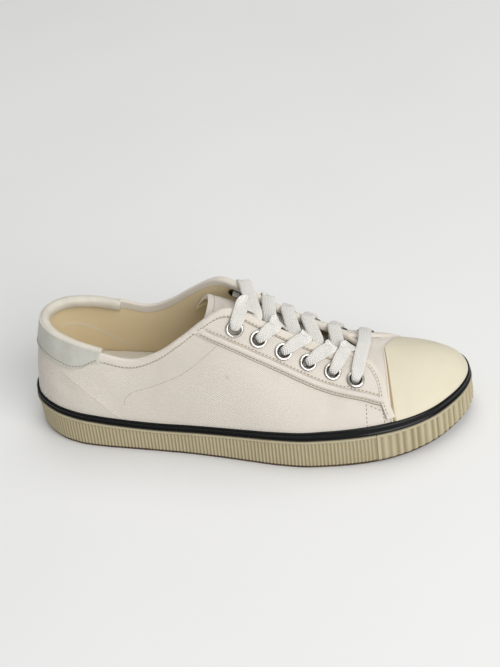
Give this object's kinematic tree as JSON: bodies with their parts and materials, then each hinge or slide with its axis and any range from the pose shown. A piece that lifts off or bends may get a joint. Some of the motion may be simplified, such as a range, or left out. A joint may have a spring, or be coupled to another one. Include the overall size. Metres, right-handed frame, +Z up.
{
  "type": "canvas sneaker",
  "caption": "Low canvas sneaker for a right foot, laced, with ribbed rubber sole wall, black edge band, rubber toe cap and padded leather heel patch.",
  "frame": {"origin": "on the floor, under the middle of the shoe's overall box", "axes": "+X to the toe, +Y to the inner side of the foot, +Z up"},
  "size_m": [0.2836, 0.1032, 0.0965],
  "materials": {
    "canvas": "off-white twill",
    "cream_rubber": "matte cream",
    "cap_rubber": "smooth cream",
    "black_rubber": "satin black",
    "gum_rubber": "matte gum",
    "insole_cloth": "light cloth",
    "grey_leather": "pale grey, smooth",
    "nickel": "bright nickel",
    "cotton": "flat white lace"
  },
  "bodies": {
    "root": {"upper": "canvas", "eyestay_lateral": "canvas", "eyestay_medial": "canvas", "binding_lateral": "canvas", "binding_medial": "canvas", "tongue": "canvas", "foxing": "cream_rubber", "toe_bumper": "cream_rubber", "toe_cap": "cap_rubber", "edge_band": "black_rubber", "outsole": "gum_rubber", "insole": "insole_cloth", "heel_patch": "grey_leather", "lace_bar": "cotton", "lace_crossing_1": "cotton", "lace_crossing_2": "cotton", "lace_crossing_3": "cotton", "lace_crossing_4": "cotton", "lace_crossing_5": "cotton", "eyelet_lateral_1": "nickel", "eyelet_lateral_2": "nickel", "eyelet_lateral_3": "nickel", "eyelet_lateral_4": "nickel", "eyelet_lateral_5": "nickel", "eyelet_lateral_6": "nickel", "eyelet_medial_1": "nickel", "eyelet_medial_2": "nickel", "eyelet_medial_3": "nickel", "eyelet_medial_4": "nickel", "eyelet_medial_5": "nickel", "eyelet_medial_6": "nickel"}
  },
  "joints": []
}
